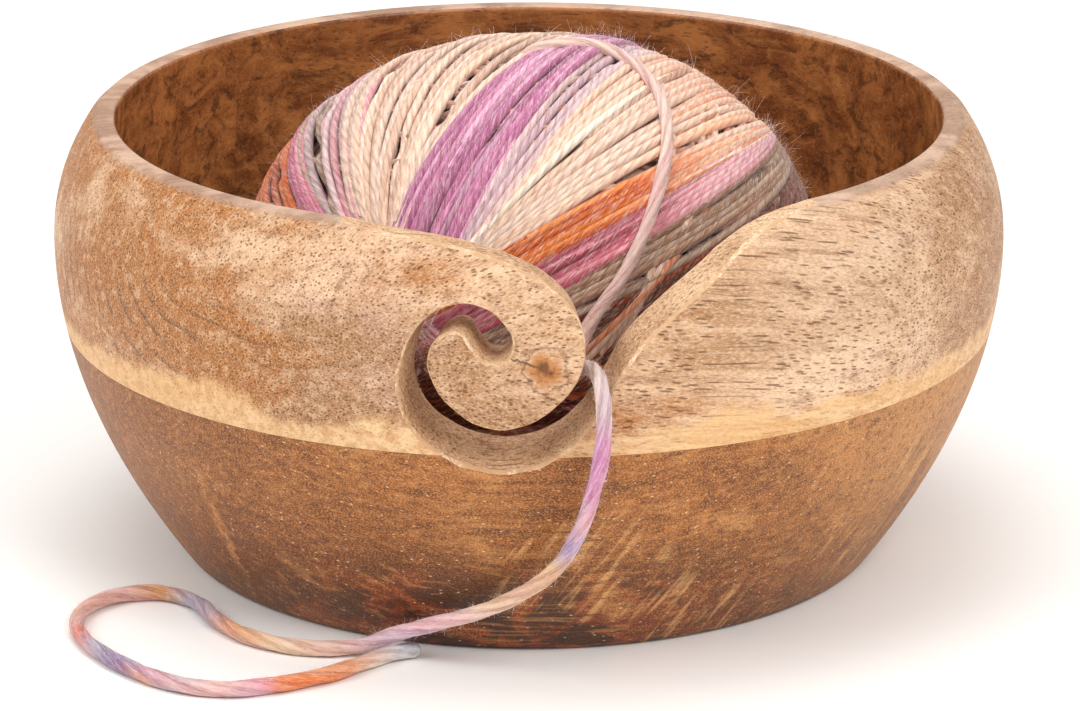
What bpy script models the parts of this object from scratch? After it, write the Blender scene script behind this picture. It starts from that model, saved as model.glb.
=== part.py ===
"""A turned wooden yarn bowl with a scroll slot, holding a ball of yarn.

The bowl is two blocks of wood glued one on the other and turned as one.
A slot is sawn through the front wall: it runs in from the rim, round a curl
of wood, and ends in a small hook that holds the working strand. The ball of
yarn lies loose in the bowl, and its strand leaves through the slot, falls
down the outside and lies in a loop on the table.

Frame: metres, +Z up, origin at the centre of the foot, slot towards -Y.
"""

import math

import bmesh
import bpy
from mathutils import Matrix, Vector

MM = 0.001

# Bowl, in millimetres.
BOWL_HEIGHT = 82.6
WIDEST_RADIUS = 89.0
WIDEST_HEIGHT = 59.0
FOOT_RADIUS = 66.1
FOOT_CURVE = 1.92
RIM_OUTER_RADIUS = 81.2
RIM_CURVE = 2.2
RIM_INNER_RADIUS = 77.1
RIM_FILLET = 0.7
CAVITY_RADIUS = 77.6
CAVITY_WIDEST_HEIGHT = 62.0
CAVITY_CURVE = 2.6
FLOOR_HEIGHT = 13.3
GLUE_HEIGHT = 43.9
GLUE_GAP = 0.3
FOOT_CHAMFER = 0.8
TURNED_STEPS = 72

# Slot: its outline is drawn on the unrolled outer wall, x along the wall at
# SLOT_ARC_RADIUS with 0 at the front, and y as the height above the table.
SLOT_ARC_RADIUS = 88.0
SLOT_INNER_REACH = 66.0
SLOT_OUTER_REACH = 98.0
SLOT_LEVEL_HEIGHT = 58.0
SLOT_FLOOR_TILT = 1.25
SLOT_STRIP = 7.0
SLOT_STEPS = 3
SLOT_OUTLINE = (
    # over the rim, and down the top of the curl
    (-58.0, 96.0), (-50.0, 84.0), (-38.0, 82.7), (-28.0, 81.7), (-18.0, 80.9),
    (-9.6, 79.5), (-2.0, 77.2), (4.4, 73.7), (8.4, 69.4), (9.7, 64.8),
    # round the nose and the belly of the curl
    (8.9, 59.3), (5.1, 53.9), (-1.1, 49.8), (-7.2, 49.4), (-13.0, 52.7),
    (-16.7, 57.8), (-17.4, 62.7), (-14.9, 66.1), (-11.6, 66.4),
    # the hook's round pocket
    (-9.4, 63.6), (-7.1, 61.6), (-4.2, 61.9), (-2.8, 64.8), (-4.2, 68.0),
    # back along the outer side of the slot
    (-8.6, 71.0), (-13.6, 71.0), (-18.6, 68.0), (-21.9, 61.6), (-22.6, 55.0),
    (-20.6, 49.1), (-15.6, 44.1), (-9.0, 41.1), (-2.0, 40.9), (4.8, 43.8),
    (10.2, 49.3), (14.2, 56.0), (19.0, 63.4), (25.2, 68.5), (34.0, 74.4),
    (41.7, 79.0), (49.5, 81.5), (60.0, 82.6), (72.0, 84.2), (80.0, 96.0),
)

# Ball of yarn, in millimetres.
BALL_CENTRE = (-0.1, -6.0, 54.7)
BALL_HALF_SIZE = (52.0, 47.0, 40.9)
BALL_LEAN = -0.06
BALL_SEGMENTS = 44
BALL_RINGS = 22

# Yarn: the strand's route, in millimetres, from the top of the ball.
YARN_DIAMETER = 3.0
YARN_STEP = 2.0 * YARN_DIAMETER
YARN_END_GAP = 0.35
LEAD_ROUTE = (
    (-4.0, -12.6, 96.9), (3.6, -10.6, 97.2), (10.7, -7.6, 96.9),
    (17.1, -10.6, 95.4), (21.5, -16.8, 93.2), (24.1, -23.4, 90.5),
    (25.0, -31.6, 86.2), (24.2, -38.2, 81.7), (22.3, -44.0, 76.4),
    (19.6, -48.8, 70.7), (15.9, -53.0, 64.8), (12.0, -56.0, 60.2),
)
WORKING_ROUTE = (
    (12.0, -56.0, 60.2), (9.4, -59.4, 56.4), (8.2, -64.8, 54.0),
    (8.7, -71.2, 54.8), (10.2, -77.2, 57.0), (11.6, -83.6, 58.1),
    (12.5, -88.6, 56.9), (12.9, -91.4, 52.6), (12.6, -92.0, 46.6),
    (11.4, -91.5, 40.4), (8.9, -89.6, 31.4), (4.6, -86.5, 23.1),
    (-1.6, -82.4, 16.8), (-8.6, -78.2, 12.0), (-15.8, -74.4, 8.5),
    (-23.4, -70.8, 5.0), (-29.6, -69.4, 2.3), (-37.0, -69.4, 1.6),
    (-44.4, -67.5, 1.6), (-51.6, -62.4, 1.6), (-56.8, -55.0, 1.6),
    (-60.8, -46.6, 1.6), (-67.4, -41.6, 1.6), (-75.0, -42.6, 1.6),
    (-80.6, -48.8, 1.6), (-81.8, -57.6, 1.6), (-79.0, -66.6, 1.6),
    (-72.6, -76.4, 1.6), (-63.8, -85.0, 1.6), (-54.2, -88.7, 1.6),
    (-44.4, -86.6, 1.6), (-35.2, -81.6, 1.6), (-28.6, -75.6, 1.6),
    (-23.4, -71.3, 1.6), (-19.4, -69.6, 1.6),
)


def clear_scene():
    for obj in list(bpy.data.objects):
        bpy.data.objects.remove(obj, do_unlink=True)


def new_collection(name):
    collection = bpy.data.collections.new(name)
    bpy.context.scene.collection.children.link(collection)
    return collection


def new_object(name, data, collection, material=None):
    obj = bpy.data.objects.new(name, data)
    collection.objects.link(obj)
    if material:
        data.materials.append(material)
    return obj


def plain_material(name, colour, roughness):
    material = bpy.data.materials.new(name)
    material.use_nodes = True
    shader = material.node_tree.nodes["Principled BSDF"]
    shader.inputs["Base Color"].default_value = (*colour, 1.0)
    shader.inputs["Roughness"].default_value = roughness
    shader.inputs["Metallic"].default_value = 0.0
    material.diffuse_color = (*colour, 1.0)
    return material


def shade_round(obj):
    obj.data.shade_smooth()
    obj.data.set_sharp_from_angle(angle=math.radians(35.0))


# Turned profiles ------------------------------------------------------------


def outer_radius(height):
    """Radius of the bowl's outside at a height, both in millimetres."""
    if height < WIDEST_HEIGHT:
        share = (WIDEST_HEIGHT - height) / WIDEST_HEIGHT
        return WIDEST_RADIUS - (WIDEST_RADIUS - FOOT_RADIUS) * share**FOOT_CURVE
    share = (height - WIDEST_HEIGHT) / (BOWL_HEIGHT - WIDEST_HEIGHT)
    return WIDEST_RADIUS - (WIDEST_RADIUS - RIM_OUTER_RADIUS) * share**RIM_CURVE


def cavity_radius(height):
    """Radius of the bowl's inside at a height, both in millimetres."""
    if height > CAVITY_WIDEST_HEIGHT:
        share = (height - CAVITY_WIDEST_HEIGHT) / (BOWL_HEIGHT - CAVITY_WIDEST_HEIGHT)
        return CAVITY_RADIUS - (CAVITY_RADIUS - RIM_INNER_RADIUS) * share**2
    depth = CAVITY_WIDEST_HEIGHT - FLOOR_HEIGHT
    share = (CAVITY_WIDEST_HEIGHT - height) / depth
    return CAVITY_RADIUS * max(0.0, 1.0 - share**CAVITY_CURVE) ** (1.0 / CAVITY_CURVE)


def heights_between(low, high, count):
    return [low + (high - low) * i / (count - 1) for i in range(count)]


def fillet(radius, height, direction, turn, steps=3):
    """A quarter round of RIM_FILLET about (radius, height), from one direction
    angle through a turn, both in degrees."""
    points = []
    for i in range(steps + 1):
        angle = math.radians(direction + turn * i / steps)
        points.append(
            (
                radius + RIM_FILLET * math.cos(angle),
                height + RIM_FILLET * math.sin(angle),
            )
        )
    return points


def turned(name, profile, closed, collection, material):
    """Spins a profile of (radius, height) points, listed down its outer side."""
    mesh = bpy.data.meshes.new(name)
    points = [(radius * MM, 0.0, height * MM) for radius, height in profile]
    edges = [(i, i + 1) for i in range(len(points) - 1)]
    if closed:
        edges.append((len(points) - 1, 0))
    mesh.from_pydata(points, edges, [])
    obj = new_object(name, mesh, collection, material)
    screw = obj.modifiers.new("turning", "SCREW")
    screw.angle = 2.0 * math.pi
    screw.screw_offset = 0.0
    screw.steps = TURNED_STEPS
    screw.render_steps = TURNED_STEPS
    screw.use_merge_vertices = True
    screw.merge_threshold = 0.00001
    screw.use_smooth_shade = True
    return obj


def make_base_block(collection, material):
    """The lower block: the floor, the foot and the lower half of the wall."""
    top = GLUE_HEIGHT - GLUE_GAP / 2.0
    cavity = CAVITY_WIDEST_HEIGHT - FLOOR_HEIGHT
    profile = [(0.0, FLOOR_HEIGHT)]
    for angle in (12, 24, 36, 48, 58, 66):
        radius = CAVITY_RADIUS * math.sin(math.radians(angle))
        share = 1.0 - (radius / CAVITY_RADIUS) ** CAVITY_CURVE
        profile.append(
            (radius, CAVITY_WIDEST_HEIGHT - cavity * share ** (1.0 / CAVITY_CURVE))
        )
    last = profile[-1][1]
    profile += [(cavity_radius(z), z) for z in heights_between(last, top, 4)[1:]]
    profile += [
        (outer_radius(z), z) for z in heights_between(top, FOOT_CHAMFER, 9)
    ]
    profile += [(outer_radius(0.0) - FOOT_CHAMFER, 0.0), (0.0, 0.0)]
    return turned("base_block", profile, False, collection, material)


def make_rim_block(collection, material):
    """The upper block: the upper half of the wall, up to the flat rim."""
    bottom = GLUE_HEIGHT + GLUE_GAP / 2.0
    shoulder = BOWL_HEIGHT - RIM_FILLET
    profile = [(cavity_radius(z), z) for z in heights_between(bottom, shoulder, 7)[:-1]]
    profile += fillet(RIM_INNER_RADIUS + RIM_FILLET, shoulder, 180.0, -90.0)
    profile += fillet(RIM_OUTER_RADIUS - RIM_FILLET, shoulder, 90.0, -60.0, 2)
    profile += [
        (outer_radius(z), z) for z in heights_between(shoulder - 1.0, bottom, 11)
    ]
    return turned("rim_block", profile, True, collection, material)


# Slot -----------------------------------------------------------------------


def wrapped(along, height, outside):
    """Places a point of the unrolled slot in the wall. The cut is square to
    the wall in plan, and its floor falls a little towards the outside."""
    reach = SLOT_OUTER_REACH if outside else SLOT_INNER_REACH
    azimuth = along / SLOT_ARC_RADIUS
    if height < SLOT_LEVEL_HEIGHT:
        below = SLOT_LEVEL_HEIGHT - height
        height += below * SLOT_FLOOR_TILT * (1.0 - reach / SLOT_ARC_RADIUS)
    return Vector(
        (reach * math.sin(azimuth), -reach * math.cos(azimuth), height)
    ) * MM


def make_slot_cutter(collection):
    """The slot as a solid: its flat outline, extruded and bent round the wall."""
    curve = bpy.data.curves.new("slot_outline", "CURVE")
    curve.dimensions = "2D"
    curve.fill_mode = "BOTH"
    curve.extrude = 1.0
    curve.resolution_u = SLOT_STEPS
    spline = curve.splines.new("BEZIER")
    spline.bezier_points.add(len(SLOT_OUTLINE) - 1)
    spline.use_cyclic_u = True
    for point, (along, height) in zip(spline.bezier_points, SLOT_OUTLINE):
        point.co = (along, height, 0.0)
        point.handle_left_type = "AUTO"
        point.handle_right_type = "AUTO"
    outline = new_object("slot_outline", curve, collection)
    bpy.context.view_layer.update()
    graph = bpy.context.evaluated_depsgraph_get()
    mesh = bpy.data.meshes.new_from_object(outline.evaluated_get(graph))
    mesh.transform(outline.matrix_world)
    bpy.data.objects.remove(outline, do_unlink=True)

    bent = bmesh.new()
    bent.from_mesh(mesh)
    bmesh.ops.remove_doubles(bent, verts=bent.verts, dist=1e-4)
    first = min(vertex.co.x for vertex in bent.verts)
    last = max(vertex.co.x for vertex in bent.verts)
    for strip in range(1, math.ceil((last - first) / SLOT_STRIP)):
        bmesh.ops.bisect_plane(
            bent,
            geom=bent.verts[:] + bent.edges[:] + bent.faces[:],
            plane_co=(first + strip * SLOT_STRIP, 0.0, 0.0),
            plane_no=(1.0, 0.0, 0.0),
        )
    bmesh.ops.triangulate(bent, faces=bent.faces)
    for vertex in bent.verts:
        vertex.co = wrapped(vertex.co.x, vertex.co.y, vertex.co.z > 0.0)
    bmesh.ops.recalc_face_normals(bent, faces=bent.faces)
    if bent.calc_volume(signed=True) < 0.0:
        bmesh.ops.reverse_faces(bent, faces=bent.faces)
    bent.to_mesh(mesh)
    bent.free()

    cutter = new_object("slot_cutter", mesh, collection)
    cutter.hide_render = True
    cutter.display_type = "WIRE"
    return cutter


def cut_slot(block, cutter):
    cut = block.modifiers.new("slot", "BOOLEAN")
    cut.operation = "DIFFERENCE"
    cut.solver = "EXACT"
    cut.object = cutter


# Yarn -----------------------------------------------------------------------


def make_ball(collection, material):
    """The wound ball as one plain egg-shaped solid."""
    mesh = bpy.data.meshes.new("yarn_ball")
    ball = bmesh.new()
    bmesh.ops.create_uvsphere(
        ball, u_segments=BALL_SEGMENTS, v_segments=BALL_RINGS, radius=1.0
    )
    ball.to_mesh(mesh)
    ball.free()
    size = Matrix.Diagonal(Vector((*BALL_HALF_SIZE, 1.0 / MM)) * MM)
    mesh.transform(Matrix.Rotation(BALL_LEAN, 4, "Y") @ size)
    obj = new_object("yarn_ball", mesh, collection, material)
    obj.location = Vector(BALL_CENTRE) * MM
    shade_round(obj)
    return obj


def spline_point(before, start, end, after, t):
    """A point of the smooth curve from start to end, t from 0 to 1."""
    return 0.5 * (
        2.0 * start
        + (end - before) * t
        + (2.0 * before - 5.0 * start + 4.0 * end - after) * t**2
        + (3.0 * start - before - 3.0 * end + after) * t**3
    )


def smooth_route(route, fine=24):
    """A smooth curve through the route's points, as many short chords."""
    points = [Vector(point) for point in route]
    ends = [2 * points[0] - points[1], *points, 2 * points[-1] - points[-2]]
    curve = [points[0]]
    for i in range(len(points) - 1):
        curve += [spline_point(*ends[i : i + 4], j / fine) for j in range(1, fine + 1)]
    return curve


def even_points(curve, step, first_trim=0.0, last_trim=0.0):
    """Points about a step apart along a curve, less a trim at either end."""
    reached = [0.0]
    for a, b in zip(curve, curve[1:]):
        reached.append(reached[-1] + (b - a).length)
    start, end = first_trim, reached[-1] - last_trim
    count = max(2, round((end - start) / step) + 1)
    points = []
    k = 0
    for i in range(count):
        want = start + (end - start) * i / (count - 1)
        while k < len(curve) - 2 and reached[k + 1] < want:
            k += 1
        share = (want - reached[k]) / (reached[k + 1] - reached[k])
        points.append(curve[k].lerp(curve[k + 1], share))
    return points


def make_strand(name, points, collection, material):
    """A round strand along points that are in millimetres."""
    curve = bpy.data.curves.new(name, "CURVE")
    curve.dimensions = "3D"
    curve.bevel_depth = YARN_DIAMETER * MM / 2.0
    curve.bevel_resolution = 2
    curve.use_fill_caps = True
    spline = curve.splines.new("POLY")
    spline.points.add(len(points) - 1)
    for point, place in zip(spline.points, points):
        point.co = (*(place * MM), 1.0)
    spline.use_smooth = True
    return new_object(name, curve, collection, material)


def main():
    clear_scene()
    bowl = new_collection("yarn_bowl")
    cutters = new_collection("cutters")
    pale_wood = plain_material("pale_wood", (0.52, 0.34, 0.19), 0.55)
    dark_wood = plain_material("dark_wood", (0.30, 0.15, 0.06), 0.5)
    wound_yarn = plain_material("wound_yarn", (0.62, 0.40, 0.38), 0.9)
    pale_yarn = plain_material("pale_yarn", (0.66, 0.46, 0.42), 0.9)

    base_block = make_base_block(bowl, dark_wood)
    rim_block = make_rim_block(bowl, pale_wood)
    slot_cutter = make_slot_cutter(cutters)
    for block in (base_block, rim_block):
        cut_slot(block, slot_cutter)

    make_ball(bowl, wound_yarn)
    lead = even_points(smooth_route(LEAD_ROUTE), YARN_STEP, last_trim=YARN_END_GAP)
    make_strand("yarn_lead", lead, bowl, pale_yarn)
    working = even_points(
        smooth_route(WORKING_ROUTE), YARN_STEP, first_trim=YARN_END_GAP
    )
    make_strand("working_yarn", working, bowl, pale_yarn)


main()
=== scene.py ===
"""Visual model of a turned wooden yarn bowl with its ball of yarn."""

import math

import bmesh
import bpy
import numpy as np
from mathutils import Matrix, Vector
from mathutils.kdtree import KDTree


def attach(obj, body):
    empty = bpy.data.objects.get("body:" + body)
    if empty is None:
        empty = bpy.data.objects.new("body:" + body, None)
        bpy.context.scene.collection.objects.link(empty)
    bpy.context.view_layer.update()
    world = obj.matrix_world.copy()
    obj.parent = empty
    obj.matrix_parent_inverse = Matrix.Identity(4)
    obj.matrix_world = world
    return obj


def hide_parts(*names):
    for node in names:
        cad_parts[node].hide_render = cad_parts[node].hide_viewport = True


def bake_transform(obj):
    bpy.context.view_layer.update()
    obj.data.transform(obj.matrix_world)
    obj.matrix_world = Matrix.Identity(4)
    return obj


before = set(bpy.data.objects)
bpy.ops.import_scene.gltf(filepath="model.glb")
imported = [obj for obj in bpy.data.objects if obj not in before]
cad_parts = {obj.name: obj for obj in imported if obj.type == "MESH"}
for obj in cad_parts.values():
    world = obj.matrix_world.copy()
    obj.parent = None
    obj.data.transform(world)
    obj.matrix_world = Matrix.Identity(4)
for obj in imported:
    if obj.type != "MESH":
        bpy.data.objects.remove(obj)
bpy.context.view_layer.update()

MM = 0.001
TURN = 2.0 * math.pi
random = np.random.default_rng(7)
scene = bpy.context.scene


def srgb(red, green, blue):
    """A screen colour, each part from 0 to 255, as linear light."""
    parts = np.array([red, green, blue]) / 255.0
    return np.where(parts < 0.04045, parts / 12.92, ((parts + 0.055) / 1.055) ** 2.4)


def link(obj):
    scene.collection.objects.link(obj)
    return obj


# ---- Camera ----

CAMERA_PLACE = (0.0, -0.9018, 0.3302)
CAMERA_PITCH = 71.81
CAMERA_LENS = 166.67
CAMERA_SHIFT = 0.0103


def make_camera():
    data = bpy.data.cameras.new("camera")
    data.sensor_width = 36.0
    data.lens = CAMERA_LENS
    data.shift_x = CAMERA_SHIFT
    data.clip_start = 0.01
    data.clip_end = 20.0
    camera = link(bpy.data.objects.new("camera", data))
    camera.location = CAMERA_PLACE
    camera.rotation_euler = (math.radians(CAMERA_PITCH), 0.0, 0.0)
    scene.camera = camera


# ---- Shader building ----


class Paint:
    """A material, its colour so far, and short ways to add nodes to it."""

    def __init__(self, name, roughness, gloss, **settings):
        self.material = bpy.data.materials.new(name)
        self.material.use_nodes = True
        self.tree = self.material.node_tree
        self.shader = self.tree.nodes["Principled BSDF"]
        self.shader.inputs["Roughness"].default_value = roughness
        self.shader.inputs["Specular IOR Level"].default_value = gloss
        for socket, value in settings.items():
            self.shader.inputs[socket.replace("_", " ")].default_value = value

    def node(self, kind, inputs=(), **settings):
        node = self.tree.nodes.new("ShaderNode" + kind)
        for name, value in settings.items():
            setattr(node, name, value)
        for key, value in dict(inputs).items():
            self.feed(node.inputs[key], value)
        return node

    def feed(self, socket, value):
        if isinstance(value, bpy.types.NodeSocket):
            self.tree.links.new(value, socket)
        elif socket.type == "RGBA":
            socket.default_value = (*value, 1.0)
        else:
            socket.default_value = value

    def math(self, operation, *values):
        return self.node("Math", enumerate(values), operation=operation).outputs[0]

    def times(self, product, *factors):
        for factor in factors:
            product = self.math("MULTIPLY", product, factor)
        return product

    def times_plus(self, value, factor, offset):
        return self.math("MULTIPLY_ADD", value, factor, offset)

    def minus(self, first, second):
        return self.math("SUBTRACT", first, second)

    def radius(self, x, y):
        return self.math("SQRT", self.math("ADD", self.times(x, x), self.times(y, y)))

    def vector(self, operation, *values):
        return self.node("VectorMath", enumerate(values), operation=operation).outputs[0]

    def enlarge(self, vector, factor):
        inputs = {0: vector, "Scale": factor}
        return self.node("VectorMath", inputs, operation="SCALE").outputs[0]

    def place(self):
        """The object's own coordinates, in millimetres."""
        return self.enlarge(self.node("TexCoord").outputs["Object"], 1.0 / MM)

    def parts(self, vector):
        node = self.node("SeparateXYZ", {0: vector})
        return node.outputs[0], node.outputs[1], node.outputs[2]

    def stretch(self, vector, scale, turn=(0.0, 0.0, 0.0)):
        """A vector turned by angles in degrees, then scaled along each axis."""
        inputs = {"Vector": vector, "Rotation": [math.radians(angle) for angle in turn]}
        node = self.node("Mapping", inputs, vector_type="POINT")
        return self.vector("MULTIPLY", node.outputs[0], scale)

    def noise(self, vector, scale=1.0, detail=2.0, roughness=0.5, distortion=0.0):
        """Noise. Its scale is one number, or one along each axis."""
        if isinstance(scale, tuple):
            vector, scale = self.stretch(vector, scale), 1.0
        return self.node("TexNoise", {
            "Vector": vector, "Scale": scale, "Detail": detail,
            "Roughness": roughness, "Distortion": distortion,
        }).outputs["Fac"]

    def cells(self, vector, scale=1.0, dimensions="3D"):
        """Distance to the nearest of scattered points, and that point's number."""
        inputs = {"Vector": vector, "Scale": scale}
        node = self.node("TexVoronoi", inputs, voronoi_dimensions=dimensions)
        number = self.node("SeparateColor", {0: node.outputs["Color"]})
        return node.outputs["Distance"], number.outputs[0]

    def step(self, value, low, high, out_low=0.0, out_high=1.0):
        """A smooth change from out_low to out_high as value goes low to high."""
        inputs = enumerate((value, low, high, out_low, out_high))
        return self.node("MapRange", inputs, interpolation_type="SMOOTHSTEP").outputs[0]

    def mix(self, share, first, second, blend="MIX"):
        inputs = {0: share, 6: first, 7: second}
        return self.node("Mix", inputs, data_type="RGBA", blend_type=blend).outputs[2]

    def begin(self, first, second, value, low, high):
        """Paints from one screen colour to another as value goes low to high."""
        self.colour = self.mix(self.step(value, low, high), srgb(*first), srgb(*second))
        return self.colour

    def cover(self, tint, *shares):
        """Lays a screen colour over the colour so far, as far as all the shares
        multiplied together."""
        self.colour = self.mix(self.times(*shares), self.colour, srgb(*tint))
        return self.colour

    def stain(self, tint, value, low, high, most):
        """Lays a screen colour on where value goes from low to high."""
        return self.cover(tint, self.step(value, low, high, 0.0, most))

    def finish(self, height, depth, strength, roughness=None):
        self.feed(self.shader.inputs["Base Color"], self.colour)
        if roughness is not None:
            self.feed(self.shader.inputs["Roughness"], roughness)
        bump = {"Height": height, "Distance": depth * MM, "Strength": strength}
        self.feed(self.shader.inputs["Normal"], self.node("Bump", bump).outputs[0])
        return self.material


# ---- Wood ----

KNOT = (2.8, 60.5)
KNOT_RADIUS = 3.4
GRAIN_TURN = 24.0
GRAIN_FALL = 0.0026
# where the growth rings' middle line crosses x = 0, and how it drifts along x
PITH = (-64.0, 86.0)
PITH_SLOPE = 0.2
RING_SPACING = 3.7


def pores(paint, grain, ring, width, along=0.16):
    """Open pores: fine tubes along X that come and go, denser in early wood.
    Where the grain meets the surface end on they show as dots."""
    _, y, z = paint.parts(grain)
    across = paint.node("CombineXYZ", {0: y, 1: z}).outputs[0]
    distance, number = paint.cells(across, 1.0 / width, "2D")
    size = paint.times_plus(number, 0.09, 0.09)
    inside = paint.step(distance, size, paint.math("ADD", size, 0.10), 1.0, 0.0)
    broken = paint.noise(grain, (along, 0.9, 0.9), 2.0, 0.6)
    held = paint.times(paint.step(broken, 0.37, 0.5), paint.step(ring, 0.1, 0.6, 0.6, 1.0))
    return paint.times(inside, held)


def grain_of(paint, place, bend=3.0):
    """Coordinates along slightly wavering grain."""
    node = paint.node("TexNoise", {"Vector": place, "Scale": 0.022, "Detail": 2.0})
    wander = paint.vector("SUBTRACT", node.outputs["Color"], (0.5, 0.5, 0.5))
    return paint.vector("ADD", place, paint.enlarge(wander, 2.0 * bend))


def fanned(paint, place):
    """The rim block's grain: square to the wall left of the slot, along it at
    the front right, and falling towards the right."""
    turned_place = paint.stretch(place, (1.0, 1.0, 1.0), (0.0, 0.0, -GRAIN_TURN))
    x, _, _ = paint.parts(place)
    rightward = paint.math("MAXIMUM", paint.minus(x, 8.0), 0.0)
    fall = paint.times(rightward, rightward, GRAIN_FALL)
    return paint.vector("ADD", turned_place, paint.node("CombineXYZ", {2: fall}).outputs[0])


def growth_rings(paint, grain):
    """Growth rings about a line along X: a value that climbs across each ring."""
    x, y, z = paint.parts(grain)
    aside = paint.minus(y, paint.times_plus(x, PITH_SLOPE, PITH[0]))
    radius = paint.radius(aside, paint.minus(z, PITH[1]))
    radius = paint.times_plus(paint.noise(grain, (0.01, 0.06, 0.06), 2.0), 6.0, radius)
    return paint.math("FRACT", paint.math("DIVIDE", radius, RING_SPACING))


def rim_wood():
    """Pale wood with open pores, golden patches and a straw band at its foot."""
    paint = Paint("rim_wood", 0.56, 0.35)
    place = paint.place()
    x, y, z = paint.parts(place)
    ring = growth_rings(paint, grain_of(paint, place))
    grain = grain_of(paint, fanned(paint, place))
    broad = paint.noise(place, (0.02, 0.03, 0.05), 3.0, 0.55, 0.3)
    patch = paint.noise(place, (0.04, 0.05, 0.085), 4.0, 0.66, 0.4)
    pink = paint.noise(place, (0.03, 0.04, 0.09), 3.0, 0.6)
    streak = paint.noise(grain, (0.02, 0.6, 0.6), 3.0, 0.62)
    leftward = paint.step(x, -28.0, -66.0)
    paint.begin((168, 120, 78), (222, 180, 142), broad, 0.36, 0.66)
    paint.stain((206, 166, 146), pink, 0.5, 0.7, 0.5)
    gold = paint.times_plus(leftward, 0.2, patch)
    gold = paint.times_plus(paint.step(z, 66.0, 52.0), 0.05, gold)
    paint.stain((172, 104, 36), gold, 0.50, 0.76, 0.95)
    # paler on the right: partly the wood's colour, partly painted light from the right
    paint.cover((240, 206, 172), paint.step(x, 28.0, 50.0), paint.step(x, 80.0, 62.0), 0.45)
    paint.stain((140, 94, 58), streak, 0.5, 0.7, 0.6)
    paint.stain((238, 204, 170), streak, 0.5, 0.3, 0.4)
    line = paint.times(paint.step(ring, 0.7, 0.93), paint.step(ring, 0.93, 1.0, 1.0, 0.0))
    shown = paint.times(paint.times_plus(leftward, 0.75, 0.12), paint.step(pink, 0.4, 0.55))
    tan = paint.cover((104, 66, 38), line, paint.times(shown, paint.step(z, 76.0, 60.0)))

    # straw-coloured sapwood just above the glue line
    edge = paint.noise(place, (0.05, 0.05, 0.03), 4.0, 0.66)
    sap = paint.step(paint.minus(z, paint.times_plus(edge, 15.0, 41.6)), 1.6, -1.4)
    paint.begin((232, 192, 144), (208, 158, 108), streak, 0.38, 0.66)
    straw = paint.stain((222, 166, 98), broad, 0.42, 0.62, 0.35)
    paint.colour = paint.mix(sap, tan, straw)

    # fine flecks and pores
    fleck = paint.noise(grain, (1.1, 3.4, 3.4), 2.0, 0.75)
    fewer = paint.step(sap, 0.0, 1.0, 1.0, 0.55)
    paint.cover((250, 220, 188), paint.step(fleck, 0.5, 0.64, 0.0, 0.34), fewer)
    paint.cover((120, 76, 42), paint.step(fleck, 0.48, 0.34, 0.0, 0.4), fewer)
    hole = paint.times(pores(paint, grain, ring, 0.74, 0.12), paint.step(sap, 0.0, 1.0, 1.0, 0.4))
    paint.cover((104, 64, 34), hole, 0.74)

    # the orange knot on the curl
    front = paint.step(y, -60.0, -75.0)
    dx, dz = paint.minus(x, KNOT[0]), paint.minus(z, KNOT[1])
    off = paint.minus(paint.radius(dx, dz), 2.5)
    off = paint.times_plus(paint.noise(place, 0.42, 4.0, 0.66), 5.0, off)
    paint.cover((186, 118, 58), paint.step(off, KNOT_RADIUS + 0.6, KNOT_RADIUS - 1.6), front, 0.85)
    paint.cover((104, 58, 30), paint.step(off, 1.9, 0.7), front, 0.85)
    rise = paint.step(off, KNOT_RADIUS, KNOT_RADIUS + 0.5)
    fall = paint.step(off, KNOT_RADIUS + 1.2, KNOT_RADIUS + 0.5)
    paint.cover((112, 70, 40), rise, fall, front, 0.6)

    # a hairline crack falls from the hook's pocket towards the knot
    want = paint.minus(paint.times_plus(dx, -0.32, 60.6), 1.3)
    want = paint.times_plus(paint.noise(place, (0.6, 0.0, 0.0), 3.0, 0.6), 2.6, want)
    crack = paint.step(paint.math("ABSOLUTE", paint.minus(z, want)), 0.3, 0.06)
    reach = paint.times(paint.step(dx, -11.5, -9.5), paint.step(dx, 0.5, -3.0))
    crack = paint.times(crack, reach, front)
    colour = paint.cover((74, 44, 26), crack, 0.8)

    # the flat top of the rim is greyer and pinker
    grey = paint.begin((206, 172, 150), (158, 126, 106), patch, 0.42, 0.6)
    paint.colour = paint.mix(paint.times(paint.step(z, 81.6, 82.4), 0.75), colour, grey)
    height = paint.minus(paint.minus(paint.times(fleck, 0.5), hole), crack)
    return paint.finish(height, 0.16, 0.8, paint.times_plus(hole, 0.25, 0.52))


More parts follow.
